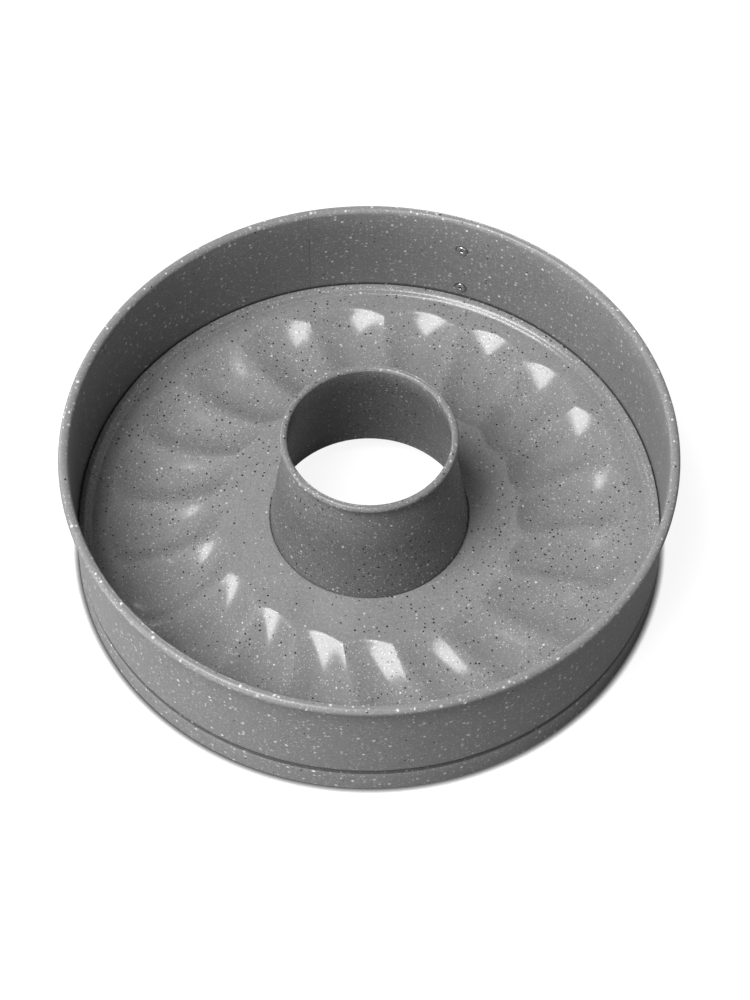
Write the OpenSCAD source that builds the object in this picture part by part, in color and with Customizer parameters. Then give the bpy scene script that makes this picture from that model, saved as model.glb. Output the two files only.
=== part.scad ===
// Springform ring-cake tin: a sheet ring that opens at its latch, a fluted base and a tube in its middle.
// The origin is the centre of the ring's foot. The latch is at the back, on the +Y side.

/* [Sheet] */
// Thickness of the ring, base and tube sheet
sheet_t = 0.5; // [0.4:0.05:0.8]
// Gap between layers of sheet that lie on each other
seat_gap = 0.1; // [0.05:0.05:0.2]

/* [Side ring] */
// Inside radius of the side wall
ring_r = 130; // [110:1:150]
// Height of the ring from its foot to the top of its rim
ring_h = 70; // [60:1:90]
// Outside diameter of the rolled rim
rim_d = 4.5; // [3.5:0.1:6]
// How far the rim is rolled round, in degrees
rim_turn = 310; // [270:5:310]
// Height of the fold at the foot
hem_h = 6; // [3:0.5:8]
// How far the foot flares out
foot_flare = 0.2; // [0:0.1:1]
// Height of the groove that makes a ledge for the base inside
groove_z = 13.4; // [11:0.1:15]
// Depth of the groove
groove_d = 1; // [0.7:0.1:1.4]

/* [Lap] */
// Azimuth of the seam, where the inner layer ends
lap_end = 102.5; // [98:0.5:110]
// Azimuth at which the outer layer ends
tongue_end = 86; // [84:0.5:88]
// Gap between the two ends of the rim at the seam
rim_seam = 0.4; // [0.2:0.1:1]
// Length of the step that carries the outer layer over the inner one
joggle_w = 1.4; // [1:0.1:3]

/* [Fluted base] */
// Height of the floor between the flutes
floor_z = 16; // [15:0.1:20]
// Gap between the edge of the base and the wall
edge_gap = 0.3; // [0.2:0.05:0.5]
// Rise of the base towards its edge
edge_rise = 1.7; // [1:0.1:2.2]
// Width of the sloping step at the edge
edge_slope_w = 3.9; // [3:0.1:4.2]
// Width of the flat land outside that step
edge_land = 2.3; // [2:0.1:3]
// Number of flutes
flutes = 20; // [16:1:24]
// Azimuth of one ridge near the ring
ridge_phase = 14.5; // [0:0.1:18]
// Depth of a flute
flute_depth = 7.3; // [6:0.1:9.4]
// How deep the ridges between the flutes dip
ridge_depth = 4.6; // [3:0.1:5.6]
// Width of the flat floor from the tube to the flutes
tube_land = 21; // [16:0.5:24]
// Width of the flat floor from the flutes to the sloping step
rim_land = 6.4; // [3:0.1:9]
// How far the inner end of a flute is arched
inner_arch = 2.9; // [1:0.1:5]
// How far the outer end of a flute is arched
outer_arch = 4.5; // [2:0.1:6]
// Share of a flute's length from its inner end to its deepest point
deepest_at = 0.55; // [0.45:0.01:0.65]
// Softness of the ridges: near 0 they are sharp
ridge_soft = 1.6; // [0.2:0.1:2]
// Roundness of a flute along its length
flute_power = 2.3; // [2:0.1:3]
// Roundness of a ridge along its length
ridge_power = 2; // [1.8:0.1:3]
// How far the inner ends of the ridges swirl round, in degrees
swirl = 7; // [0:0.2:10]

/* [Tube] */
// Outside radius of the tube where it meets the floor
tube_foot_r = 44.3; // [38:0.1:50]
// Inside radius of the tube at its mouth
tube_top_r = 35.4; // [30:0.1:38]
// How far the tube stands above the rim of the ring
tube_proud = 5.9; // [0:0.1:12]
// Outside diameter of the tube's rolled mouth
mouth_d = 3.4; // [2.6:0.1:4.5]
// Depth of the rolled seam below the floor
seam_d = 3.6; // [3:0.1:5]

/* [Latch] */
// Azimuth of the lever's pin
latch_az = 78; // [77:0.5:79]
// Height of the latch above the foot
latch_z = 37; // [34:0.5:44]
// Distance between the bracket's rivets
rivet_pitch = 27; // [25:0.5:28]
// Distance of the rivets from the lever's pin, along the wall
rivet_back = 15.6; // [14:0.1:17]
// Radius of a rivet's shank
rivet_r = 1.3; // [1:0.1:1.6]
// Thickness of the bracket and the hook plate
bracket_t = 0.8; // [0.6:0.1:1.2]
// Distance of the lever's pin from the inside of the wall
pin_out = 8; // [7.6:0.1:9]
// Radius of the lever's pin
pin_r = 1.5; // [1.2:0.1:1.8]
// Outside width across the bracket's ears
ears_w = 14; // [12:0.5:16]
// Thickness of the lever's sheet
lever_t = 0.8; // [0.6:0.1:1]
// Turn of the lever's grip round the ring, in degrees
grip_turn = 18; // [14:0.5:20]
// Radius of the turned-out tip of the lever
tip_r = 12; // [8:0.5:16]
// Distance from the lever's pin to the bail's holes
crank_r = 8; // [7:0.1:9]
// How far past the dead centre the bail's holes lie
over_centre = 1.2; // [0.8:0.1:1.6]
// Diameter of the bail's wire
wire_d = 2.2; // [1.8:0.1:2.6]
// Distance from the lever's pin to the hook's lip
hook_reach = 26.6; // [25:0.1:28]
// Height of the hook's lip above its plate
lip_h = 6.8; // [6.4:0.1:8]
// Height of the bail's bar above the hook plate
bar_lift = 2.6; // [2.4:0.1:3.2]

/* [Hidden] */
$fn = 120;
coat = "#808080";
zinc = "#b9b9bd";

// Sheet and side ring
step = sheet_t + seat_gap;
groove_rise = 1.8;
groove_fall = 5.4;
groove_shape = [[0, 0], [0.12, 1.9], [0.45, 3.7], [1, groove_fall]];
shoulder_z = groove_z - groove_fall;
wall_c = ring_r + sheet_t / 2;
rim_c = rim_d / 2 - sheet_t / 2;
rim_z = ring_h - rim_d / 2;
seam_deg = rim_seam / ring_r * 180 / PI;
joggle_deg = joggle_w / ring_r * 180 / PI;
tongue_top = ring_h - rim_d - seat_gap * 5;

// Base
base_r = ring_r - edge_gap;
edge_bend = 0.8;
collar_bend = 0.5;
flank_w = groove_d * 0.78;
flank_h = groove_rise * 0.45;
skirt_z = groove_z + max(0, base_r - wall_c + groove_d) * flank_h / flank_w
    + norm([1, flank_h / flank_w]) * sheet_t / 2 + seat_gap;
flat_r = base_r - edge_land;
slope_r = flat_r - edge_slope_w;
flute_out_r = slope_r - rim_land;
flute_in_r = tube_foot_r + tube_land;
blend_w = 0.8;
skin = 0.02;
flute_steps = 8;
flute_rows = [0, 0.06, 0.17, 0.34, 0.55, 0.74, 0.88, 0.96, 1];
end_soft = 0.25;
swirl_r = 105;

// Tube
hole_r = tube_foot_r + seat_gap;
mouth_c = mouth_d / 2 - sheet_t / 2;
mouth_z = ring_h + tube_proud - mouth_d / 2;
seam_z = floor_z - seam_d;

// Latch
plate_r = ring_r + step;
pin_x = ring_r + pin_out;
hook_plate_r = ring_r + 2 * step;
play = 0.3;
bar_play = 0.4;
bar_room = 7.4;
fit = 0.05;
strap_w = 8;
strap_margin = 3.4;
ear_t = 1;
ear_r = pin_r + 1.5;
ear_land = 3;
web_r = pin_x + ear_r + play;
lever_in = ears_w / 2 + play;
lever_out = lever_in + lever_t;
pin_head_r = pin_r + 0.9;
pin_head_gap = 0.15;
pin_head_h = 0.75;
leg_z = lever_out + pin_head_gap + pin_head_h + wire_d / 2 + play;
crank_x = pin_x - over_centre;
crank_y = -sqrt(crank_r * crank_r - over_centre * over_centre);
hook_y = hook_reach + wire_d / 2 + bar_play;
hook_rad = hook_plate_r + bracket_t + wire_d / 2 + bar_lift;
hook_x = sqrt(hook_rad * hook_rad - hook_y * hook_y);
bail_len = norm([hook_x - crank_x, hook_y - crank_y]);
bail_az = atan2(hook_y - crank_y, hook_x - crank_x);
hand_shift = 9.4;
hand_drop = 16.3;
hand_cut = 15.2;
crank_land = 1.5;
tip_turn = 40;
wire_bend = 2.4;
head_r = rivet_r + 1.6;
head_h = 1.2;
head_shape = [[1, 0], [0.97, 0.4], [0.76, 0.75], [0.42, 0.95], [0, 1]];
roll_shape = [
    [0, 1], [0.6, 0.85], [0.6, -0.25], [0.84, -0.475],
    [1.64, -0.5], [1.95, -0.35], [2.05, 0], [1, 0]];
rivet_az = latch_az - asin(rivet_back / ring_r);
hook_rivet_az = latch_az + asin((hook_y + wire_d / 2 + head_r + bar_room) / ring_r);
hook_rivet_pitch = 9;
hook_margin = 4;
lip_t = 1;
hole_run = 2;
bite = 0.1;
lip_w = 12;

// The section of a sheet that runs from offset a to offset b beside the points of a path
function unit(v) = v / norm(v);
function left_of(v) = [-v[1], v[0]];
function side(p, i) =
    let (a = left_of(unit(p[max(i, 1)] - p[max(i, 1) - 1])))
    let (b = left_of(unit(p[min(i + 1, len(p) - 1)] - p[min(i + 1, len(p) - 1) - 1])))
    (a + b) / (1 + a * b);
function layer(p, a, b) = concat(
    [for (i = [0 : len(p) - 1]) p[i] + side(p, i) * a],
    [for (i = [len(p) - 1 : -1 : 0]) p[i] + side(p, i) * b]);
function sheet(p) = layer(p, -sheet_t / 2, sheet_t / 2);
function roll(c, r, turn, n) = [for (i = [0 : n]) c + r * [cos(180 - turn * i / n), sin(180 - turn * i / n)]];
function arc_points(c, r, from, to, n) =
    [for (i = [0 : n]) let (a = from + (to - from) * i / n) c + r * [cos(a), sin(a)]];
function bend(a, b, c, n) =
    [for (i = [0 : n]) let (u = i / n) (1 - u) * (1 - u) * a + 2 * u * (1 - u) * b + u * u * c];

// Side ring: section of the wall, which turns in slowly to the crease of the groove and out again above it
function foot_c(z) = wall_c + foot_flare * (1 - z / shoulder_z);
wall_path = concat(
    [for (p = groove_shape) [wall_c - groove_d * p[0], shoulder_z + p[1]]],
    [[wall_c - groove_d + flank_w, groove_z + flank_h]],
    [[wall_c, groove_z + groove_rise]]);
hem_path = [
    [foot_c(hem_h) - step, hem_h],
    [foot_c(sheet_t / 2) - step, sheet_t / 2],
    [foot_c(sheet_t / 2), sheet_t / 2]];
rim_path = roll([wall_c + rim_c, rim_z], rim_c, rim_turn, 20);
tongue_path = concat([[foot_c(sheet_t), sheet_t]], wall_path, [[wall_c, tongue_top]]);
joggle_path = concat([[foot_c(2 * sheet_t), 2 * sheet_t]], wall_path, [[wall_c, tongue_top - sheet_t]]);

module arc(section, from, to) {
    rotate([0, 0, from])
        rotate_extrude(angle = to - from)
            polygon(section);
}

module rivet_holes(az, pitch, z, r, from, to) {
    for (s = [-1, 1])
        rotate([0, 0, az])
            translate([from, 0, z + s * pitch / 2])
                rotate([0, 90, 0])
                    cylinder(r = r, h = to - from);
}

// The sheet runs once round from the seam. Past it a step lifts its end over the inner layer as a tongue.
module side_ring() {
    start = lap_end + seam_deg;
    step_end = start + joggle_deg;
    grip = sheet_t / 2 - bite;
    color(coat) {
        difference() {
            arc(sheet(concat(hem_path, wall_path, rim_path)), start, 360 + lap_end);
            rivet_holes(rivet_az, rivet_pitch, latch_z, rivet_r + fit, ring_r - hole_run, ring_r + hole_run);
        }
        difference() {
            arc(layer(tongue_path, -step - sheet_t / 2, -step + sheet_t / 2), tongue_end, step_end);
            rivet_holes(hook_rivet_az, hook_rivet_pitch, latch_z, rivet_r + fit, ring_r, ring_r + hole_run);
        }
        arc(layer(joggle_path, -step - grip, grip), start + joggle_deg / 4, step_end - joggle_deg / 4);
    }
}

// Fluted base: flutes are scoops pressed down between soft ridges that dip less than they do
function soften(d, soft) = sqrt(d * d + soft * soft) - soft;
function hollow(u) = 4 * u * (1 - u);
function across(u) = soften(hollow(u), ridge_soft) / soften(1, ridge_soft);
function dip(t, power) = 1 - pow(abs(t - deepest_at) / (t < deepest_at ? deepest_at : 1 - deepest_at), power);
function flute_r(u, t) =
    (1 - t) * (flute_in_r + inner_arch * (1 - hollow(u))) + t * (flute_out_r - outer_arch * (1 - hollow(u)));
function twist(r) = -swirl * pow(max(0, (swirl_r - r) / (swirl_r - flute_in_r)), 2);
function flute_drop(u, t) = soften(
    flute_depth * across(u) * dip(t, flute_power) + ridge_depth * (1 - across(u)) * dip(t, ridge_power),
    end_soft);
function flute_point(k, t, drop) =
    let (u = (k % flute_steps) / flute_steps)
    let (r = flute_r(u, t))
    let (az = ridge_phase + 360 * k / (flutes * flute_steps) + twist(r))
    [r * cos(az), r * sin(az), floor_z - drop - flute_drop(u, t)];
function ring_point(k, r, drop) =
    let (az = ridge_phase + 360 * k / (flutes * flute_steps) + twist(r))
    [r * cos(az), r * sin(az), floor_z - drop];
function flute_loop(k) = concat(
    [ring_point(k, flute_in_r - 2 * blend_w, skin)],
    [for (t = flute_rows) flute_point(k, t, skin)],
    [ring_point(k, flute_out_r + 2 * blend_w, skin)],
    [ring_point(k, flute_out_r + 2 * blend_w, sheet_t - skin)],
    [for (i = [len(flute_rows) - 1 : -1 : 0]) flute_point(k, flute_rows[i], sheet_t - skin)],
    [ring_point(k, flute_in_r - 2 * blend_w, sheet_t - skin)]);

module flute_band() {
    n = flutes * flute_steps;
    m = 2 * len(flute_rows) + 4;
    points = [for (k = [0 : n - 1]) each flute_loop(k)];
    faces = [for (k = [0 : n - 1], j = [0 : m - 1])
        let (a = k * m + j, b = k * m + (j + 1) % m)
        let (c = (k + 1) % n * m + (j + 1) % m, d = (k + 1) % n * m + j)
        each [[a, c, b], [a, d, c]]];
    polyhedron(points, faces);
}

edge_path = concat(
    [[flute_out_r + blend_w, floor_z - sheet_t / 2]],
    [for (i = [0 : 8])
        [slope_r + edge_slope_w * i / 8, floor_z - sheet_t / 2 + edge_rise * (1 - cos(180 * i / 8)) / 2]],
    bend([base_r - sheet_t / 2 - edge_bend, floor_z + edge_rise - sheet_t / 2],
        [base_r - sheet_t / 2, floor_z + edge_rise - sheet_t / 2],
        [base_r - sheet_t / 2, floor_z + edge_rise - sheet_t / 2 - edge_bend], 5),
    [[base_r - sheet_t / 2, skirt_z]]);
collar_path = concat(
    [[hole_r + sheet_t / 2, seam_z + step + seat_gap]],
    bend([hole_r + sheet_t / 2, floor_z - sheet_t / 2 - collar_bend],
        [hole_r + sheet_t / 2, floor_z - sheet_t / 2],
        [hole_r + sheet_t / 2 + collar_bend, floor_z - sheet_t / 2], 4),
    [[flute_in_r - blend_w, floor_z - sheet_t / 2]]);

module fluted_base() {
    color(coat) {
        flute_band();
        rotate_extrude()
            polygon(sheet(edge_path));
        rotate_extrude()
            polygon(sheet(collar_path));
    }
}

// Tube: rolled mouth, tapered wall, straight neck through the base and a seam rolled round the base's collar
module centre_tube() {
    neck_c = tube_foot_r - sheet_t / 2;
    top_c = tube_top_r + sheet_t / 2;
    seam_c = neck_c + 2 * step;
    path = concat(
        [[seam_c, floor_z - sheet_t - seat_gap * 3]],
        [[seam_c, seam_z + sheet_t / 2]],
        [[neck_c, seam_z + sheet_t / 2]],
        [[neck_c, floor_z]],
        roll([top_c + mouth_c, mouth_z], mouth_c, rim_turn, 18));
    color(coat)
        rotate_extrude()
            polygon(sheet(path));
}

// Latch: everything below is laid out in a frame whose x axis passes through the lever's pin
module at_latch() {
    rotate([0, 0, latch_az])
        translate([0, 0, latch_z])
            children();
}

module curved_plate(r, t, from, to, w) {
    rotate([0, 0, from])
        rotate_extrude(angle = to - from)
            translate([r, -w / 2])
                square([t, w]);
}

module lever_bracket() {
    strap_from = -asin((rivet_back + strap_w / 2) / ring_r);
    strap_to = -asin((rivet_back - strap_w / 2) / ring_r);
    strap_h = rivet_pitch + 2 * strap_margin;
    plate_to = asin((ear_r + ear_land) / ring_r);
    plate_h = ears_w + ear_t;
    ear_in = plate_r + bracket_t / 2;
    cut_r = plate_r - hole_run / 2;
    color(zinc)
        at_latch()
            difference() {
                union() {
                    difference() {
                        curved_plate(plate_r, bracket_t, strap_from, plate_to, strap_h);
                        for (s = [-1, 1])
                            translate([0, 0, s * (plate_h + strap_h) / 2])
                                curved_plate(cut_r, bracket_t + hole_run, strap_to, 2 * plate_to, strap_h);
                    }
                    for (s = [-1, 1])
                        translate([0, 0, s > 0 ? ears_w / 2 - ear_t : -ears_w / 2])
                            linear_extrude(ear_t) {
                                translate([ear_in, -ear_r])
                                    square([pin_x - ear_in, 2 * ear_r]);
                                translate([pin_x, 0])
                                    circle(r = ear_r);
                            }
                }
                translate([pin_x, 0, -ears_w])
                    cylinder(r = pin_r + fit, h = 2 * ears_w);
                rivet_holes(rivet_az - latch_az, rivet_pitch, 0, rivet_r + fit, cut_r, web_r);
            }
}

module lever_pin() {
    head_z = lever_out + pin_head_gap;
    color(zinc)
        at_latch()
            translate([pin_x, 0, 0]) {
                cylinder(r = pin_r, h = 2 * head_z, center = true);
                for (s = [0, 1])
                    mirror([0, 0, s])
                        translate([0, 0, head_z])
                            cylinder(r = pin_head_r, h = pin_head_h);
            }
}

module lever_side() {
    edge_r = web_r + lever_t / 2;
    difference() {
        union() {
            difference() {
                circle(r = edge_r);
                translate([hand_shift, -hand_drop])
                    circle(r = web_r - hand_cut);
                translate([-2 * web_r, 0])
                    square([4 * web_r, 2 * web_r]);
                rotate(-grip_turn)
                    translate([-2 * web_r, -2 * web_r])
                        square([4 * web_r, 2 * web_r]);
            }
            translate([pin_x, 0])
                circle(r = edge_r - lever_t / 4 - pin_x);
            translate([crank_x, crank_y])
                circle(r = wire_d / 2 + crank_land);
        }
        translate([pin_x, 0])
            circle(r = pin_r + fit);
        translate([crank_x, crank_y])
            circle(r = wire_d / 2 + fit);
    }
}

module latch_lever() {
    mid_r = web_r + lever_t / 2;
    web_start = asin((ear_r - lever_t / 2) / web_r);
    tip_c = (mid_r + tip_r) * [cos(grip_turn), -sin(grip_turn)];
    web_path = concat(
        arc_points([0, 0], mid_r, -web_start, -grip_turn, 10),
        arc_points(tip_c, tip_r, 180 - grip_turn + tip_turn / 8, 180 - grip_turn + tip_turn, 7));
    color(zinc)
        at_latch() {
            translate([0, 0, -lever_out])
                linear_extrude(2 * lever_out)
                    polygon(layer(web_path, -lever_t / 2, lever_t / 2));
            for (s = [-1, 1])
                translate([0, 0, s > 0 ? lever_in : -lever_out])
                    linear_extrude(lever_t)
                        lever_side();
        }
}

// Wire bail: two legs outside the lever, ends turned in through its sides, a bar behind the hook's lip
module wire_bend_at(p, from) {
    translate([p[0], 0, p[1]])
        rotate([90, 0, 0])
            rotate([0, 0, from])
                rotate_extrude(angle = 90)
                    translate([wire_bend, 0])
                        circle(d = wire_d);
}

module wire_bail() {
    color(zinc)
        at_latch()
            translate([crank_x, crank_y, 0])
                rotate([0, 0, bail_az]) {
                    translate([bail_len, 0, 0])
                        cylinder(d = wire_d, h = 2 * (leg_z - wire_bend), center = true);
                    for (s = [0, 1])
                        mirror([0, 0, s]) {
                            translate([0, 0, lever_in])
                                cylinder(d = wire_d, h = leg_z - wire_bend - lever_in);
                            wire_bend_at([wire_bend, leg_z - wire_bend], 90);
                            translate([wire_bend, 0, leg_z])
                                rotate([0, 90, 0])
                                    cylinder(d = wire_d, h = bail_len - 2 * wire_bend);
                            wire_bend_at([bail_len - wire_bend, leg_z - wire_bend], 0);
                        }
                }
}

module hook_plate() {
    lip_az = asin(hook_reach / hook_plate_r);
    toe = asin(lip_t * 3 / hook_plate_r);
    heel = asin(hook_margin / hook_plate_r);
    lip_x = sqrt(hook_plate_r * hook_plate_r - hook_reach * hook_reach) + bracket_t / 2;
    color(zinc)
        at_latch()
            difference() {
                union() {
                    curved_plate(hook_plate_r, bracket_t, lip_az - toe, hook_rivet_az - latch_az + heel,
                        hook_rivet_pitch + 2 * hook_margin);
                    translate([lip_x, hook_reach - lip_t, -lip_w / 2])
                        cube([lip_h, lip_t, lip_w]);
                }
                rivet_holes(hook_rivet_az - latch_az, hook_rivet_pitch, 0, rivet_r + fit,
                    hook_plate_r - hole_run / 2, web_r);
            }
}

// Rivets, as sections from the ring's axis outwards: domed heads outside, a rolled hollow end inside
function head_points(z) = concat([[rivet_r, z]], [for (p = head_shape) [head_r * p[0], z + head_h * p[1]]]);
function roll_points(z) = [for (p = roll_shape) [rivet_r * p[0], z + rivet_r * p[1]]];

module bracket_rivet() {
    rotate_extrude($fn = 48)
        polygon(concat(roll_points(ring_r - skin), head_points(plate_r + bracket_t + skin)));
}

module hook_rivet() {
    rotate_extrude($fn = 48)
        polygon(concat(
            [[0, plate_r + skin], [rivet_r, plate_r + skin]],
            head_points(hook_plate_r + bracket_t + skin)));
}

module bracket_rivets() {
    color(zinc)
        for (s = [-1, 1])
            rotate([0, 0, rivet_az])
                translate([0, 0, latch_z + s * rivet_pitch / 2])
                    rotate([0, 90, 0])
                        bracket_rivet();
}

module hook_rivets() {
    color(zinc)
        for (s = [-1, 1])
            rotate([0, 0, hook_rivet_az])
                translate([0, 0, latch_z + s * hook_rivet_pitch / 2])
                    rotate([0, 90, 0])
                        hook_rivet();
}

side_ring();
fluted_base();
centre_tube();
lever_bracket();
lever_pin();
latch_lever();
wire_bail();
hook_plate();
bracket_rivets();
hook_rivets();
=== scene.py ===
import math

import bmesh
import bpy
from mathutils import Matrix, Vector


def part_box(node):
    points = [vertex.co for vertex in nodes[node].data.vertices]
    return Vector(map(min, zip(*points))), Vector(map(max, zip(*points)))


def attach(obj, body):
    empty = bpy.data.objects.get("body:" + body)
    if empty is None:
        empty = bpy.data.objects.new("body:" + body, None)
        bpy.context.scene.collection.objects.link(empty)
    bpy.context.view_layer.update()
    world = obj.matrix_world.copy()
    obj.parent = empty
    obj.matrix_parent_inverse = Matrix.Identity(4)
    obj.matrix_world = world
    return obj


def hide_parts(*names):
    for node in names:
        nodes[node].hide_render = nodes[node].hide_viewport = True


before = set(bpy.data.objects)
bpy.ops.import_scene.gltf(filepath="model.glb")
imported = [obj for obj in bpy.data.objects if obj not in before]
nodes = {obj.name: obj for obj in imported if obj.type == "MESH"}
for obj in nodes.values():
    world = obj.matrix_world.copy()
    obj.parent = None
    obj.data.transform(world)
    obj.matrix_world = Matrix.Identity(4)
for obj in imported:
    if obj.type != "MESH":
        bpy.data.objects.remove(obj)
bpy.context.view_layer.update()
print("stage: frame loaded")

# the camera stands where the photograph was taken from, fitted to the rim, foot and tube
shotValues = {
    "elevation": 55.67,      # degrees above the floor
    "distance": 1.2999,      # from the middle of the rim
    "focal": 108.12,
    "sensor": 36,            # millimetres on the long side
    "roll": -0.23,
    "sideways": 0.00257,     # how far the rim's middle lies beside the line of sight
    "upwards": -0.02311,
    "nearest": 0.05,
    "farthest": 30,
}


def addCamera(values, rimMiddle):
    camera = bpy.data.objects.new("photoCamera", bpy.data.cameras.new("photoCamera"))
    camera.data.lens = values["focal"]
    camera.data.sensor_width = values["sensor"]
    camera.data.clip_start = values["nearest"]
    camera.data.clip_end = values["farthest"]
    tilt = math.radians(values["elevation"])
    roll = math.radians(values["roll"])
    ahead = Vector((0, math.cos(tilt), -math.sin(tilt)))
    up = Vector((0, math.sin(tilt), math.cos(tilt)))
    right = Vector((1, 0, 0))
    place = rimMiddle - ahead * values["distance"] + right * values["sideways"] + up * values["upwards"]
    sideAxis = right * math.cos(roll) - up * math.sin(roll)
    upAxis = right * math.sin(roll) + up * math.cos(roll)
    camera.matrix_world = Matrix((
        (sideAxis.x, upAxis.x, -ahead.x, place.x),
        (sideAxis.y, upAxis.y, -ahead.y, place.y),
        (sideAxis.z, upAxis.z, -ahead.z, place.z),
        (0, 0, 0, 1)))
    bpy.context.scene.collection.objects.link(camera)
    bpy.context.scene.camera = camera


# small helpers for node trees
def link(tree, socket, value):
    if hasattr(value, "is_output"):
        tree.links.new(value, socket)
    else:
        socket.default_value = value


def calc(tree, operation, *values):
    node = tree.nodes.new("ShaderNodeMath")
    node.operation = operation
    for socket, value in zip(node.inputs, values):
        link(tree, socket, value)
    return node.outputs[0]


def clampCalc(tree, operation, *values):
    result = calc(tree, operation, *values)
    result.node.use_clamp = True
    return result


def vectorCalc(tree, operation, *values):
    node = tree.nodes.new("ShaderNodeVectorMath")
    node.operation = operation
    for socket, value in zip(node.inputs, values):
        link(tree, socket, value)
    return node.outputs


def ramp(tree, value, low, high, outLow=0.0, outHigh=1.0, smooth="LINEAR"):
    node = tree.nodes.new("ShaderNodeMapRange")
    node.interpolation_type = smooth
    for name, given in (("Value", value), ("From Min", low), ("From Max", high),
                        ("To Min", outLow), ("To Max", outHigh)):
        link(tree, node.inputs[name], given)
    return node.outputs[0]


# a Mix node keeps its colours in the inputs 6 and 7 and gives them back at the output 2
def mixColour(tree, share, first, second):
    node = tree.nodes.new("ShaderNodeMix")
    node.data_type = "RGBA"
    link(tree, node.inputs[0], share)
    link(tree, node.inputs[6], first)
    link(tree, node.inputs[7], second)
    return node.outputs[2]


def grey(value):
    return (value, value, value, 1)


def noise(tree, place, scale, detail=2):
    node = tree.nodes.new("ShaderNodeTexNoise")
    node.inputs["Scale"].default_value = scale
    node.inputs["Detail"].default_value = detail
    link(tree, node.inputs["Vector"], place)
    return node.outputs


# one, raised and lowered by two noises that lie round a half, each by its own share
def unevenOne(tree, first, firstShare, second, secondShare):
    uneven = calc(tree, "MULTIPLY_ADD", first, 2 * firstShare, 1 - firstShare)
    return calc(tree, "ADD", uneven, calc(tree, "MULTIPLY_ADD", second, 2 * secondShare, -secondShare))


coatValues = {
    "ground": 0.195,
    "mottle": 0.10,          # share by which the ground varies from place to place
    "mottleScale": 90,
    "mottleDetail": 4,
    "grain": 0.30,           # and from grain to grain
    "grainScale": 1100,
    "bumpScale": 700,
    "bumpHeight": 0.00002,
    "bumpStrength": 0.28,
    "fleckHeight": 0.4,      # how far a pale fleck stands up, as a share of the bumps
    # painted shade round the rivets: where the dark line lies and how dark it is
    "rivetShadowReach": (0.0027, 0.0035),    # the dark line round a rivet, as distances from its axis
    "rivetShade": 0.8,
    # painted shade on the inside of the wall along the edge of the base: its heights and how much tone is
    # kept
    "seatShadow": {"inside": 0.13015, "low": 0.0176, "high": 0.0191, "kept": 0.4},
    "hollowShadeReach": 0.03,     # how far round it a hollow gathers shade
    "hollowSamples": 4,
}

# the flecks of the coat, from dust to the black ones
# faintest and strongest say how much of the ground they hide
fleckValues = {
    "dust": {"colour": 0.9, "cell": 0.0010, "smallest": 0.00028, "largest": 0.0005, "faintest": 0,
             "strongest": 0.55, "softness": 0.9, "wobble": 0.0004, "seed": 0.31},
    "pale": {"colour": 0.9, "cell": 0.0023, "smallest": 0.0004, "largest": 0.00095, "faintest": 0.25,
             "strongest": 0.95, "softness": 0.85, "wobble": 0.001, "seed": 0.57},
    "dark": {"colour": 0.004, "cell": 0.0020, "smallest": 0.00022, "largest": 0.00055, "faintest": 0.92,
             "strongest": 1.0, "softness": 0.1, "wobble": 0.0006, "seed": 0.83, "bunching": 30},
}
raggedness = 1.6                 # waves in a fleck's outline
seedSpread = (1, 0.7, 1.3)       # how far a seed moves the cells along each axis
bunchNoise = (0.35, 0.65)        # the noise that gathers the black flecks, from its low to its high
bunchShare = (0.2, 1.8)          # and what it makes of their share


# a layer of flecks: one for each cell of a jittered grid, of its own size, and only in a share of the cells
def fleckLayer(tree, place, values, share, scale):
    smallest = values["smallest"] * scale / values["cell"]
    largest = values["largest"] * scale / values["cell"]
    shift = noise(tree, place, raggedness / (values["largest"] * scale), detail=1)
    moved = vectorCalc(tree, "MULTIPLY_ADD", shift["Color"], (values["wobble"],) * 3, place)
    seed = [values["seed"] * spread for spread in seedSpread]
    cells = tree.nodes.new("ShaderNodeTexVoronoi")
    cells.inputs["Scale"].default_value = 1 / values["cell"]
    shifted = vectorCalc(tree, "ADD", moved[0], seed)
    link(tree, cells.inputs["Vector"], shifted[0])
    parts = tree.nodes.new("ShaderNodeSeparateColor")
    link(tree, parts.inputs[0], cells.outputs["Color"])
    chance, rank, tone = parts.outputs
    if "bunching" in values:
        bunch = noise(tree, place, values["bunching"])["Fac"]
        share = calc(tree, "MULTIPLY", ramp(tree, bunch, *bunchNoise, *bunchShare), share)
    present = calc(tree, "LESS_THAN", chance, share)
    size = ramp(tree, rank, 0, 1, smallest, largest)
    inner = calc(tree, "MULTIPLY", size, 1 - values["softness"])
    spot = ramp(tree, cells.outputs["Distance"], inner, size, 1.0, 0.0, smooth="SMOOTHSTEP")
    strength = ramp(tree, tone, 0, 1, values["faintest"], values["strongest"])
    return calc(tree, "MULTIPLY", spot, present), strength


# paints shade into the coat round these points, where the gap under a rivet's edge lies in shadow
def shadeRound(tree, place, tone, spots, reach, shade):
    away = [vectorCalc(tree, "DISTANCE", place, spot)["Value"] for spot in spots]
    nearest = calc(tree, "MINIMUM", *away)
    kept = ramp(tree, nearest, *reach, 1 - shade, 1.0, smooth="SMOOTHSTEP")
    return mixColour(tree, kept, grey(0), tone)


# paints shade on the inside of the wall in the narrow gap along the edge of the base
def shadeSeat(tree, place, tone, seatShadow):
    flat = vectorCalc(tree, "MULTIPLY", place, (1, 1, 0))[0]
    radius = vectorCalc(tree, "LENGTH", flat)["Value"]
    height = tree.nodes.new("ShaderNodeSeparateXYZ")
    link(tree, height.inputs[0], place)
    outside = calc(tree, "GREATER_THAN", radius, seatShadow["inside"])
    above = ramp(tree, height.outputs[2], seatShadow["low"], seatShadow["high"], seatShadow["kept"], 1.0, smooth="SMOOTHSTEP")
    return mixColour(tree, calc(tree, "MAXIMUM", outside, above), grey(0), tone)


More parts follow.
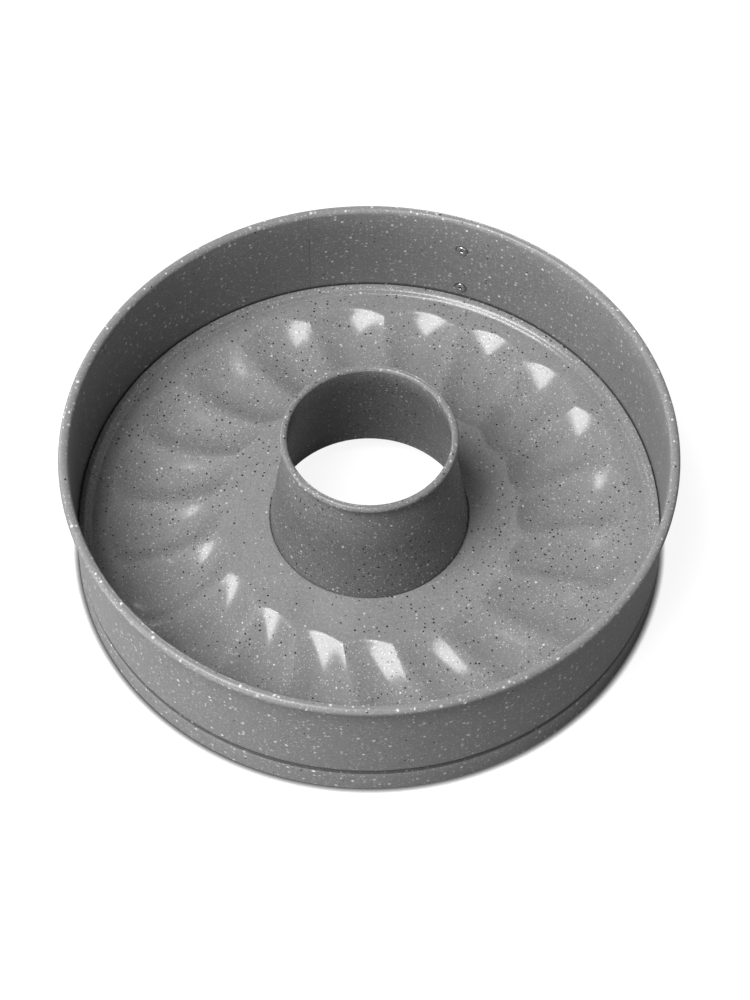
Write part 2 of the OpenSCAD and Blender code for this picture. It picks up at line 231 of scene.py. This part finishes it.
def newMaterial(name):
    material = bpy.data.materials.new(name)
    material.use_nodes = True
    tree = material.node_tree
    shader = tree.nodes["Principled BSDF"]
    return material, tree, shader, tree.nodes.new("ShaderNodeTexCoord").outputs["Object"]


# the speckled coat, as one kind of piece wears it
def coatMaterial(name, values, wear, spots=None):
    material, tree, shader, place = newMaterial(name)
    cloud = noise(tree, place, values["mottleScale"], values["mottleDetail"])["Fac"]
    grains = noise(tree, place, values["grainScale"])["Fac"]
    uneven = unevenOne(tree, cloud, values["mottle"], grains, values["grain"])
    ground = calc(tree, "MULTIPLY", uneven, values["ground"] * wear["depth"])
    tone = tree.nodes.new("ShaderNodeCombineColor")
    for socket in tone.inputs:
        link(tree, socket, ground)
    tone = tone.outputs[0]
    raised = {}
    for kind, share, scale in (("dust", wear["dust"], 1), ("pale", wear["pale"], wear["paleSize"]),
                               ("dark", wear["dark"], 1)):
        flecks = fleckValues[kind]
        raised[kind], strength = fleckLayer(tree, place, flecks, share, scale)
        cover = calc(tree, "MULTIPLY", raised[kind], strength)
        tone = mixColour(tree, cover, tone, grey(flecks["colour"]))
    # painted shade round the rivets and along the edge of the base
    if spots:
        tone = shadeRound(tree, place, tone, spots, values["rivetShadowReach"], values["rivetShade"])
        tone = shadeSeat(tree, place, tone, values["seatShadow"])
    # painted shade: the coat is darker in its own hollows, by ambient occlusion
    if "hollowShadePower" in wear:
        hollow = tree.nodes.new("ShaderNodeAmbientOcclusion")
        hollow.samples = values["hollowSamples"]
        hollow.only_local = True
        hollow.inputs["Distance"].default_value = values["hollowShadeReach"]
        kept = calc(tree, "POWER", hollow.outputs["AO"], wear["hollowShadePower"])
        tone = mixColour(tree, kept, grey(0), tone)
    link(tree, shader.inputs["Base Color"], tone)
    shader.inputs["Roughness"].default_value = wear["roughness"]
    shader.inputs["IOR"].default_value = wear["ior"]
    bumps = noise(tree, place, values["bumpScale"])["Fac"]
    bump = tree.nodes.new("ShaderNodeBump")
    bump.inputs["Strength"].default_value = values["bumpStrength"]
    bump.inputs["Distance"].default_value = values["bumpHeight"]
    flecksUp = calc(tree, "MULTIPLY", raised["pale"], values["fleckHeight"])
    link(tree, bump.inputs["Height"], calc(tree, "ADD", bumps, flecksUp))
    link(tree, shader.inputs["Normal"], bump.outputs["Normal"])
    return material


steelValues = {"colour": 0.58, "spread": 0.1, "roughness": 0.3, "streak": 0.12}
rivetSteelValues = {"colour": 0.42, "spread": 0.1, "roughness": 0.26, "streak": 0.1}
streakNoise = {"scale": 500, "detail": 3, "low": 0.3, "high": 0.7}


def steelMaterial(name, values):
    material, tree, shader, place = newMaterial(name)
    streak = noise(tree, place, streakNoise["scale"], streakNoise["detail"])["Fac"]
    colour = values["colour"]
    spread = values["spread"]
    link(tree, shader.inputs["Base Color"],
         mixColour(tree, streak, grey(colour * (1 - spread)), grey(colour * (1 + spread))))
    shader.inputs["Metallic"].default_value = 1
    half = values["streak"] / 2
    rough = ramp(tree, streak, streakNoise["low"], streakNoise["high"],
                 values["roughness"] - half, values["roughness"] + half)
    link(tree, shader.inputs["Roughness"], rough)
    return material


# how each piece wears the coat: shares of the three kinds of fleck, size of the pale ones, depth of tone and
# gloss; the pressed base is the glossiest, and its hollows get painted shade
ringWear = {"dust": 0.8, "pale": 0.42, "dark": 0.06, "paleSize": 1.12, "depth": 1.0, "roughness": 0.28,
            "ior": 1.3}
baseWear = {"dust": 0.8, "pale": 0.22, "dark": 0.42, "paleSize": 0.8, "depth": 1.0, "roughness": 0.19,
            "ior": 1.39, "hollowShadePower": 2.0}
# the tube's deeper tone is painted shade
tubeWear = {"dust": 0.8, "pale": 0.34, "dark": 0.34, "paleSize": 0.9, "depth": 0.83, "roughness": 0.26,
            "ior": 1.3}

# the two rivets that show inside the wall
rivetValues = {"azimuth": 71.108, "radius": 0.13, "heights": (0.0505, 0.0235)}
rivetTurn = math.radians(rivetValues["azimuth"])
rivetX = rivetValues["radius"] * math.cos(rivetTurn)
rivetY = rivetValues["radius"] * math.sin(rivetTurn)
rivetSpots = [(rivetX, rivetY, height) for height in rivetValues["heights"]]

ringCoat = coatMaterial("ringCoat", coatValues, ringWear, rivetSpots)
baseCoat = coatMaterial("baseCoat", coatValues, baseWear)
tubeCoat = coatMaterial("tubeCoat", coatValues, tubeWear)
rivetSteel = steelMaterial("rivetSteel", rivetSteelValues)
platedSteel = steelMaterial("platedSteel", steelValues)
print("stage: materials made")


# helpers for meshes, in metres
sheetValues = {"thickness": 0.0005, "gap": 0.0001}
doublesApart = 1e-6
leastRise = 1e-5


def finishMesh(name, mesh, material, sharpAngle=35):
    work = bmesh.new()
    work.from_mesh(mesh)
    bmesh.ops.remove_doubles(work, verts=work.verts, dist=doublesApart)
    bmesh.ops.recalc_face_normals(work, faces=work.faces)
    work.to_mesh(mesh)
    work.free()
    mesh.materials.clear()
    mesh.materials.append(material)
    mesh.shade_smooth()
    mesh.set_sharp_from_angle(angle=math.radians(sharpAngle))
    piece = bpy.data.objects.new(name, mesh)
    bpy.context.scene.collection.objects.link(piece)
    return piece


# sweeps a closed section (radius, height) round the axis, with a cap at each end unless it closes on itself
def sweepSection(name, section, fromDeg, toDeg, steps, shift=None):
    closed = toDeg - fromDeg == 360
    rings = steps if closed else steps + 1
    points = []
    for i in range(rings):
        turnDeg = fromDeg + (toDeg - fromDeg) * i / steps
        turn = math.radians(turnDeg)
        out = shift(turnDeg) if shift else 0
        points += [((r + out) * math.cos(turn), (r + out) * math.sin(turn), z) for r, z in section]
    count = len(section)
    faces = []
    for i in range(steps):
        here = i * count
        there = (i + 1) % rings * count
        for j in range(count):
            k = (j + 1) % count
            faces.append((here + j, there + j, there + k, here + k))
    if not closed:
        faces.append(tuple(range(count)))
        faces.append(tuple(reversed(range((rings - 1) * count, rings * count))))
    mesh = bpy.data.meshes.new(name)
    mesh.from_pydata(points, [], faces)
    return mesh


# the unit vector to the left of the way from one point to the next
def leftOf(here, there):
    along = Vector((there[0] - here[0], there[1] - here[1])).normalized()
    return Vector((-along.y, along.x))


# both sides of a sheet whose middle line runs through these points, the right one first
def sheetSection(path, thickness):
    half = thickness / 2
    last = len(path) - 1
    right = []
    left = []
    for i, (x, y) in enumerate(path):
        a = leftOf(path[max(i, 1) - 1], path[max(i, 1)])
        b = leftOf(path[min(i, last - 1)], path[min(i + 1, last)])
        side = (a + b) / (1 + a.dot(b))
        right.append((x - side.x * half, y - side.y * half))
        left.append((x + side.x * half, y + side.y * half))
    return right + left[::-1]


# the path of a layer that lies on the outside of this one, rising all the way
def outsideOf(path, distance):
    outer = sheetSection(path, 2 * distance)[:len(path)]
    kept = [outer[0]]
    for point in outer[1:]:
        if point[1] > kept[-1][1] + leastRise:
            kept.append(point)
    return kept


# points on the way to the end, which is the last of them
def linePoints(start, end, count):
    return [(start[0] + (end[0] - start[0]) * i / count, start[1] + (end[1] - start[1]) * i / count)
            for i in range(1, count + 1)]


# a bend from the first point to the last that heads for the middle one
def bendPoints(first, middle, last, count):
    points = []
    for i in range(count + 1):
        u = i / count
        points.append(tuple((1 - u) ** 2 * a + 2 * u * (1 - u) * b + u * u * c
                            for a, b, c in zip(first, middle, last)))
    return points


# a roll that starts at its left and turns over the top
def rollPoints(centre, radius, turn, count):
    points = []
    for i in range(count + 1):
        angle = math.radians(180 - turn * i / count)
        points.append((centre[0] + radius * math.cos(angle), centre[1] + radius * math.sin(angle)))
    return points


# the side ring, in metres and degrees
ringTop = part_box("side_ring")[1].z
ringValues = {
    "insideRadius": 0.130,
    "rimDiameter": 0.0045,
    "rimTurn": 310,
    "hemHeight": 0.006,
    "footFlare": 0.0002,
    "shoulderHeight": 0.008,
    "grooveHeight": 0.0134,
    "grooveDepth": 0.001,
    "grooveRise": 0.0022,
    "lowerBend": 0.5,        # how far up the wall stays upright below the crease, as a share
    "upperBend": 0.42,       # and above it
    "creaseDepth": 0.92,     # the crease's upper edge, as a share of the groove's depth
    "creaseWidth": 0.0001,
    "lapEnd": 102.5,
    "tongueEnd": 86.0,
    "seamGap": 0.0001,
    "joggleWidth": 0.0022,
    "tongueThinness": 0.98,  # keeps the end's faces clear of the sheet that it lies on
    "tongueDrop": 0.0005,    # from the roll of the rim down to the end's top
    "bendSteps": 8,
    "wallSteps": 6,
    "tongueWallSteps": 5,
    "rollSteps": 32,
    "sweepSteps": 360,
    "tongueSweepSteps": 60,
}


# the wall turns in slowly to the crease of the groove and out again above it
def wallPath(values, wallRadius):
    depth = values["grooveDepth"]
    low = values["shoulderHeight"]
    crease = values["grooveHeight"]
    top = crease + values["grooveRise"]
    steps = values["bendSteps"]
    lower = bendPoints((wallRadius, low), (wallRadius, low + values["lowerBend"] * (crease - low)),
                       (wallRadius - depth, crease), steps)
    upper = bendPoints((wallRadius - values["creaseDepth"] * depth, crease + values["creaseWidth"]),
                       (wallRadius, crease + values["upperBend"] * (top - crease)), (wallRadius, top), steps)
    return lower + upper


def makeRing(values, sheet):
    thick = sheet["thickness"]
    step = thick + sheet["gap"]
    wallRadius = values["insideRadius"] + thick / 2
    rimRadius = values["rimDiameter"] / 2 - thick / 2
    rimHeight = ringTop - values["rimDiameter"] / 2

    def footRadius(z):
        return wallRadius + values["footFlare"] * (1 - z / values["shoulderHeight"])

    hem = [(footRadius(values["hemHeight"]) - step, values["hemHeight"]),
           (footRadius(thick / 2) - step, thick / 2),
           (footRadius(thick / 2), thick / 2)]
    wall = wallPath(values, wallRadius)
    plain = linePoints(wall[-1], (wallRadius, rimHeight), values["wallSteps"])[:-1]
    rim = rollPoints((wallRadius + rimRadius, rimHeight), rimRadius, values["rimTurn"], values["rollSteps"])
    seamDeg = math.degrees(values["seamGap"] / values["insideRadius"])
    joggleDeg = math.degrees(values["joggleWidth"] / values["insideRadius"])
    start = values["lapEnd"] + seamDeg
    main = sheetSection(hem + wall + plain + rim, thick)
    mesh = sweepSection("ringSheet", main, start, 360 + values["lapEnd"], values["sweepSteps"])
    ring = finishMesh("ringSheet", mesh, ringCoat)
    # the outer layer's end, lifted over the inner one by a smooth step at the seam
    tongueTop = ringTop - values["rimDiameter"] - values["tongueDrop"]
    tonguePlain = linePoints(wall[-1], (wallRadius, tongueTop), values["tongueWallSteps"])
    outerWall = outsideOf([(footRadius(thick), thick)] + wall + tonguePlain, step)
    tongue = sheetSection(outerWall, thick * values["tongueThinness"])

    def lift(turnDeg):
        share = min(1, max(0, (start + joggleDeg - turnDeg) / joggleDeg))
        return step * (share * share * (3 - 2 * share) - 1)

    mesh = sweepSection("ringTongue", tongue, values["tongueEnd"], start + joggleDeg,
                        values["tongueSweepSteps"], lift)
    return ring, finishMesh("ringTongue", mesh, ringCoat)


ringSheet, ringTongue = makeRing(ringValues, sheetValues)
for piece in (ringSheet, ringTongue):
    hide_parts("side_ring")
    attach(piece, "tin")
print("stage: side ring made")


# the centre tube
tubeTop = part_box("centre_tube")[1].z
tubeValues = {
    "footRadius": 0.0443,
    "mouthInside": 0.0354,
    "mouthDiameter": 0.0034,
    "mouthTurn": 310,
    "seamDepth": 0.0036,
    "seamGaps": 3,           # gaps of the sheet between the seam's top and the base
    "wallSteps": 8,
    "rollSteps": 28,
    "sweepSteps": 256,
}


def makeTube(values, sheet, floorHeight):
    thick = sheet["thickness"]
    step = thick + sheet["gap"]
    neck = values["footRadius"] - thick / 2
    seam = neck + 2 * step
    bottom = floorHeight - values["seamDepth"]
    mouthRadius = values["mouthDiameter"] / 2 - thick / 2
    mouthHeight = tubeTop - values["mouthDiameter"] / 2
    top = values["mouthInside"] + thick / 2
    path = [(seam, floorHeight - thick - values["seamGaps"] * sheet["gap"]), (seam, bottom + thick / 2),
            (neck, bottom + thick / 2), (neck, floorHeight)]
    path += linePoints((neck, floorHeight), (top, mouthHeight), values["wallSteps"])[:-1]
    path += rollPoints((top + mouthRadius, mouthHeight), mouthRadius, values["mouthTurn"],
                       values["rollSteps"])
    mesh = sweepSection("tubeSheet", sheetSection(path, thick), 0, 360, values["sweepSteps"])
    return finishMesh("tubeSheet", mesh, tubeCoat)


# the fluted base, whose shape follows one rule all round
baseValues = {
    "flutes": 20,
    "stepsAcross": 20,
    "rowsAZone": 9,
    "floorHeight": 0.016,
    "holeRadius": 0.0444,
    "fluteStart": 0.0654,
    "fluteEnd": 0.1171,
    "slopeStart": 0.1235,
    "fluteDrop": 0.0073,
    "ridgeDrop": 0.0046,
    "deepestAt": 0.55,
    "innerArch": 0.0029,
    "outerArch": 0.0045,
    "ridgeSoftness": 1.5,
    "endSoftness": 0.00026,
    "flutePower": 2.3,
    "ridgePower": 1.95,
    "swirl": 7.1,
    "swirlRadius": 0.105,
    "ridgePhase": 14.54,
    "edgeRise": 0.0017,
    "slopeWidth": 0.0039,
    "edgeRadius": 0.1297,
    "bendRadius": 0.0008,
    "skirtBottom": 0.0144,
    "collarBottom": 0.0132,
    "seamMerge": 0.000004,
}
wholeNumbers = ("flutes", "stepsAcross", "rowsAZone")
zones = 11.0                     # parts of the section, from the collar to the skirt


def fluteTree(values, material):
    tree = bpy.data.node_groups.new("flutedSheet", "GeometryNodeTree")
    for name, value in values.items():
        kind = "NodeSocketInt" if name in wholeNumbers else "NodeSocketFloat"
        socket = tree.interface.new_socket(name=name, in_out="INPUT", socket_type=kind)
        socket.default_value = value
    tree.interface.new_socket(name="Mesh", in_out="OUTPUT", socket_type="NodeSocketGeometry")
    given = tree.nodes.new("NodeGroupInput").outputs
    size = {name: given[name] for name in values}

    def times(*v):
        return calc(tree, "MULTIPLY", *v)

    def plus(*v):
        return calc(tree, "ADD", *v)

    def minus(*v):
        return calc(tree, "SUBTRACT", *v)

    grid = tree.nodes.new("GeometryNodeMeshGrid")
    grid.inputs["Size X"].default_value = 1
    grid.inputs["Size Y"].default_value = 1
    link(tree, grid.inputs["Vertices X"], plus(size["stepsAcross"], 1.0))
    link(tree, grid.inputs["Vertices Y"], plus(times(size["rowsAZone"], zones), 1.0))
    place = tree.nodes.new("ShaderNodeSeparateXYZ")
    link(tree, place.inputs[0], tree.nodes.new("GeometryNodeInputPosition").outputs[0])
    # across runs from ridge to ridge and is closer at the ridges; along counts the zones of the section
    across = plus(place.outputs[0], 0.5)
    across = minus(0.5, times(0.5, calc(tree, "COSINE", times(across, math.pi))))
    along = times(plus(place.outputs[1], 0.5), zones)

    def zone(first, span=1.0):
        return clampCalc(tree, "DIVIDE", minus(along, float(first)), float(span))

    collar, collarBend, land, flute = zone(0), zone(1), zone(2), zone(3, 3)
    outerLand, slope, edgeLand, edgeBend, skirt = zone(6), zone(7), zone(8), zone(9), zone(10)
    flute = minus(0.5, times(0.5, calc(tree, "COSINE", times(flute, math.pi))))
    hollow = times(4.0, times(across, minus(1.0, across)))
    crown = minus(1.0, hollow)
    fluteStart = plus(size["fluteStart"], times(size["innerArch"], crown))
    fluteEnd = minus(size["fluteEnd"], times(size["outerArch"], crown))
    inside = calc(tree, "DIVIDE", minus(size["deepestAt"], flute), size["deepestAt"])
    outside = calc(tree, "DIVIDE", minus(flute, size["deepestAt"]), minus(1.0, size["deepestAt"]))
    fromDeepest = calc(tree, "MAXIMUM", calc(tree, "MAXIMUM", inside, outside), 0.0)
    fluteDip = minus(1.0, calc(tree, "POWER", fromDeepest, size["flutePower"]))
    ridgeDip = minus(1.0, calc(tree, "POWER", fromDeepest, size["ridgePower"]))

    def soften(depth, soft):
        return minus(calc(tree, "SQRT", plus(times(depth, depth), times(soft, soft))), soft)

    # the hollows leave the ridges and the flat floor at softened corners
    soft = size["ridgeSoftness"]
    rounded = calc(tree, "DIVIDE", soften(hollow, soft), soften(1.0, soft))
    drop = plus(times(times(size["fluteDrop"], rounded), fluteDip),
                times(times(size["ridgeDrop"], minus(1.0, rounded)), ridgeDip))
    drop = soften(drop, size["endSoftness"])

    # radius and height of the section, zone by zone
    bend = size["bendRadius"]
    collarTurn = times(collarBend, math.pi / 2)
    edgeTurn = times(edgeBend, math.pi / 2)
    landStart = plus(size["holeRadius"], bend)
    flatEnd = minus(size["edgeRadius"], bend)
    radius = plus(size["holeRadius"], times(bend, minus(1.0, calc(tree, "COSINE", collarTurn))))
    radius = plus(radius, times(minus(fluteStart, landStart), land))
    radius = plus(radius, times(minus(fluteEnd, fluteStart), flute))
    radius = plus(radius, times(minus(size["slopeStart"], fluteEnd), outerLand))
    radius = plus(radius, times(size["slopeWidth"], slope))
    radius = plus(radius, times(minus(minus(flatEnd, size["slopeStart"]), size["slopeWidth"]), edgeLand))
    radius = plus(radius, times(bend, calc(tree, "SINE", edgeTurn)))
    collarTop = minus(size["floorHeight"], bend)
    height = plus(size["collarBottom"], times(minus(collarTop, size["collarBottom"]), collar))
    height = plus(height, times(bend, calc(tree, "SINE", collarTurn)))
    height = minus(height, drop)
    height = plus(height, times(size["edgeRise"], ramp(tree, slope, 0, 1, smooth="SMOOTHERSTEP")))
    height = minus(height, times(bend, minus(1.0, calc(tree, "COSINE", edgeTurn))))
    skirtTop = minus(plus(size["floorHeight"], size["edgeRise"]), bend)
    height = minus(height, times(minus(skirtTop, size["skirtBottom"]), skirt))

    # the inner ends swirl round
    reach = calc(tree, "MAXIMUM", minus(size["swirlRadius"], radius), 0.0)
    reach = calc(tree, "DIVIDE", reach, minus(size["swirlRadius"], size["fluteStart"]))
    twist = times(times(reach, reach), size["swirl"])
    turn = plus(size["ridgePhase"], times(across, calc(tree, "DIVIDE", 360.0, size["flutes"])))
    turn = calc(tree, "RADIANS", minus(turn, twist))
    spot = tree.nodes.new("ShaderNodeCombineXYZ")
    link(tree, spot.inputs[0], times(radius, calc(tree, "COSINE", turn)))
    link(tree, spot.inputs[1], times(radius, calc(tree, "SINE", turn)))
    link(tree, spot.inputs[2], height)
    placed = tree.nodes.new("GeometryNodeSetPosition")
    link(tree, placed.inputs["Geometry"], grid.outputs["Mesh"])
    link(tree, placed.inputs["Position"], spot.outputs[0])

    # one flute, turned round the axis
    centres = tree.nodes.new("GeometryNodePoints")
    link(tree, centres.inputs["Count"], size["flutes"])
    pitch = calc(tree, "DIVIDE", 2 * math.pi, size["flutes"])
    spin = tree.nodes.new("ShaderNodeCombineXYZ")
    link(tree, spin.inputs[2], times(tree.nodes.new("GeometryNodeInputIndex").outputs[0], pitch))
    copies = tree.nodes.new("GeometryNodeInstanceOnPoints")
    link(tree, copies.inputs["Points"], centres.outputs[0])
    link(tree, copies.inputs["Instance"], placed.outputs["Geometry"])
    link(tree, copies.inputs["Rotation"], spin.outputs[0])
    real = tree.nodes.new("GeometryNodeRealizeInstances")
    link(tree, real.inputs[0], copies.outputs[0])
    joined = tree.nodes.new("GeometryNodeMergeByDistance")
    link(tree, joined.inputs["Geometry"], real.outputs[0])
    link(tree, joined.inputs["Distance"], size["seamMerge"])
    painted = tree.nodes.new("GeometryNodeSetMaterial")
    link(tree, painted.inputs["Geometry"], joined.outputs[0])
    painted.inputs["Material"].default_value = material
    link(tree, tree.nodes.new("NodeGroupOutput").inputs["Mesh"], painted.outputs[0])
    return tree


# runs a tree on an empty mesh with these values and gives back the plain mesh
def treeMesh(name, tree, values):
    carrier = bpy.data.objects.new(name, bpy.data.meshes.new(name))
    bpy.context.scene.collection.objects.link(carrier)
    modifier = carrier.modifiers.new(name, "NODES")
    modifier.node_group = tree
    for item in tree.interface.items_tree:
        if item.in_out == "INPUT" and item.name in values:
            modifier[item.identifier] = values[item.name]
    result = carrier.evaluated_get(bpy.context.evaluated_depsgraph_get())
    mesh = bpy.data.meshes.new_from_object(result)
    bpy.data.objects.remove(carrier)
    return mesh


def makeBase(values, sheet):
    mesh = treeMesh("flutedSheet", fluteTree(values, baseCoat), values)
    base = finishMesh("flutedSheet", mesh, baseCoat, sharpAngle=50)
    highest = max(base.data.polygons, key=lambda p: p.center.z)
    if highest.normal.z < 0:
        base.data.flip_normals()
    sheetWall = base.modifiers.new("sheetWall", "SOLIDIFY")
    sheetWall.thickness = sheet["thickness"]
    sheetWall.offset = -1
    return base


def applyModifiers(piece):
    shaped = piece.evaluated_get(bpy.context.evaluated_depsgraph_get())
    mesh = bpy.data.meshes.new_from_object(shaped)
    piece.modifiers.clear()
    piece.data = mesh
    return piece


flutedSheet = applyModifiers(makeBase(baseValues, sheetValues))
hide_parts("fluted_base")
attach(flutedSheet, "tin")
print("stage: fluted base made,", len(flutedSheet.data.polygons), "faces")

tubeSheet = makeTube(tubeValues, sheetValues, baseValues["floorHeight"])
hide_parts("centre_tube")
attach(tubeSheet, "tin")
print("stage: centre tube made")

easeValues = {"smoothTo": 30, "edgesFrom": 40, "segments": 2}    # angles in degrees


# a copy of a solid with its vertices joined and its edges eased
def easedCopy(name, node, material, easing):
    source = nodes[node]
    mesh = source.data.copy()
    mesh.transform(source.matrix_world)
    piece = finishMesh(name, mesh, material, sharpAngle=easeValues["smoothTo"])
    if easing:
        bevel = piece.modifiers.new("easedEdges", "BEVEL")
        bevel.width = easing
        bevel.segments = easeValues["segments"]
        bevel.limit_method = "ANGLE"
        bevel.angle_limit = math.radians(easeValues["edgesFrom"])
        bevel.harden_normals = True
        applyModifiers(piece)
    return piece


# each solid's piece, its body and how far its edges are eased
latchValues = {
    "lever_bracket": ("bracketPlate", "tin", 0.00012),
    "hook_plate": ("hookPlate", "tin", 0.00012),
    "lever_pin": ("leverPin", "tin", 0.00015),
    "latch_lever": ("leverArm", "lever", 0.00012),
    "wire_bail": ("bailWire", "bail", 0),
}
for node, (name, body, easing) in latchValues.items():
    piece = easedCopy(name, node, platedSteel, easing)
    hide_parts(node)
    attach(piece, body)

# rivets: a rolled end inside the wall and a domed head outside
rivetEasing = 0.00008
rivetNodes = {
    "bracket_rivets": ("bracketRivets", rivetSteel, "coated_rivet"),
    "hook_rivets": ("hookRivets", platedSteel, "plated_steel"),
}
for node, (name, material, slot) in rivetNodes.items():
    piece = easedCopy(name, node, material, rivetEasing)
    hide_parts(node)
    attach(piece, "tin")
print("stage: latch and rivets made")

# floor and world
stageValues = {
    "floorHalf": 6.0,
    "floorShade": 0.14,      # what the floor throws back on to the tin
    "cameraGlow": 0.9,       # what the camera sees of it without light
    "cameraShade": 0.2,
    "glossyShare": 0.17,     # how much of that the coat mirrors
    # painted shadow on the floor along the foot
    "contactShadowReach": 0.0032,  # how far the dark line under the foot reaches
    "contactShadowPower": 4.0,
    "contactSamples": 8,
    "ambient": 0.0,
}

# the lamps: one overhead, and low panels all round but at the right, where the photograph is dark
lampAim = Vector((0, 0, 0.03))
lampValues = {
    "overhead": {"towards": (-0.362, -0.250, 0.898), "distance": 6.0, "width": 3.2, "strength": 18.8},
    "leftPanel": {"towards": (-0.97, -0.22, 0.10), "distance": 2.0, "width": 0.6, "strength": 17.0},
    "frontLeftPanel": {"towards": (-0.60, -0.79, 0.10), "distance": 2.0, "width": 0.6, "strength": 7.0},
    "frontPanel": {"towards": (0.08, -0.99, 0.10), "distance": 2.0, "width": 0.6, "strength": 6.0},
    "backLeftPanel": {"towards": (-0.80, 0.55, 0.12), "distance": 2.0, "width": 0.6, "strength": 7.0},
    "backPanel": {"towards": (0.25, 0.95, 0.13), "distance": 2.0, "width": 0.8, "strength": 9.0},
}


def makeFloor(values):
    half = values["floorHalf"]
    mesh = bpy.data.meshes.new("paleFloor")
    corners = [(-half, -half, 0), (half, -half, 0), (half, half, 0), (-half, half, 0)]
    mesh.from_pydata(corners, [], [(0, 1, 2, 3)])
    floor = bpy.data.objects.new("paleFloor", mesh)
    bpy.context.scene.collection.objects.link(floor)
    material = bpy.data.materials.new("floorPaint")
    material.use_nodes = True
    tree = material.node_tree
    tree.nodes.remove(tree.nodes["Principled BSDF"])
    paths = tree.nodes.new("ShaderNodeLightPath")
    plain = tree.nodes.new("ShaderNodeBsdfDiffuse")
    plain.inputs["Color"].default_value = grey(values["floorShade"])
    seen = tree.nodes.new("ShaderNodeBsdfDiffuse")
    glow = tree.nodes.new("ShaderNodeEmission")
    glow.inputs["Color"].default_value = (1, 1, 1, 1)
    # painted shadow: the floor is darker near the foot, by ambient occlusion
    contact = tree.nodes.new("ShaderNodeAmbientOcclusion")
    contact.samples = values["contactSamples"]
    contact.inputs["Distance"].default_value = values["contactShadowReach"]
    paintedFootShadow = calc(tree, "POWER", contact.outputs["AO"], values["contactShadowPower"])
    link(tree, glow.inputs["Strength"], calc(tree, "MULTIPLY", paintedFootShadow, values["cameraGlow"]))
    link(tree, seen.inputs["Color"], mixColour(tree, paintedFootShadow, grey(0), grey(values["cameraShade"])))
    both = tree.nodes.new("ShaderNodeAddShader")
    link(tree, both.inputs[0], seen.outputs[0])
    link(tree, both.inputs[1], glow.outputs[0])
    mirrored = calc(tree, "MULTIPLY", paths.outputs["Is Glossy Ray"], values["glossyShare"])
    straight = calc(tree, "MAXIMUM", mirrored, paths.outputs["Is Transmission Ray"])
    straight = calc(tree, "MAXIMUM", paths.outputs["Is Camera Ray"], straight)
    choice = tree.nodes.new("ShaderNodeMixShader")
    link(tree, choice.inputs[0], straight)
    link(tree, choice.inputs[1], plain.outputs[0])
    link(tree, choice.inputs[2], both.outputs[0])
    link(tree, tree.nodes["Material Output"].inputs["Surface"], choice.outputs[0])
    mesh.materials.append(material)
    return floor


def makeWorld(values):
    world = bpy.data.worlds.new("studio")
    bpy.context.scene.world = world
    world.use_nodes = True
    tree = world.node_tree
    sky = tree.nodes["Background"]
    sky.inputs["Color"].default_value = (1, 1, 1, 1)
    paths = tree.nodes.new("ShaderNodeLightPath")
    straight = calc(tree, "MAXIMUM", paths.outputs["Is Glossy Ray"], paths.outputs["Is Transmission Ray"])
    straight = calc(tree, "MAXIMUM", paths.outputs["Is Camera Ray"], straight)
    link(tree, sky.inputs["Strength"], ramp(tree, straight, 0.0, 1.0, values["ambient"], 1.0))


def addPanel(name, values):
    lamp = bpy.data.lights.new(name, "AREA")
    lamp.shape = "SQUARE"
    lamp.size = values["width"]
    lamp.energy = values["strength"] * math.pi * values["width"] ** 2    # strength is its own brightness
    panel = bpy.data.objects.new(name, lamp)
    towards = Vector(values["towards"]).normalized()
    panel.location = lampAim + towards * values["distance"]
    panel.rotation_euler = towards.to_track_quat("Z", "Y").to_euler()
    bpy.context.scene.collection.objects.link(panel)


makeFloor(stageValues)
makeWorld(stageValues)
for name, values in lampValues.items():
    addPanel(name, values)
rimMiddle = Vector((0, 0, ringTop - ringValues["rimDiameter"] / 2))
addCamera(shotValues, rimMiddle)
bpy.context.scene.view_settings.view_transform = "Standard"
print("stage: floor, lamps and camera made")
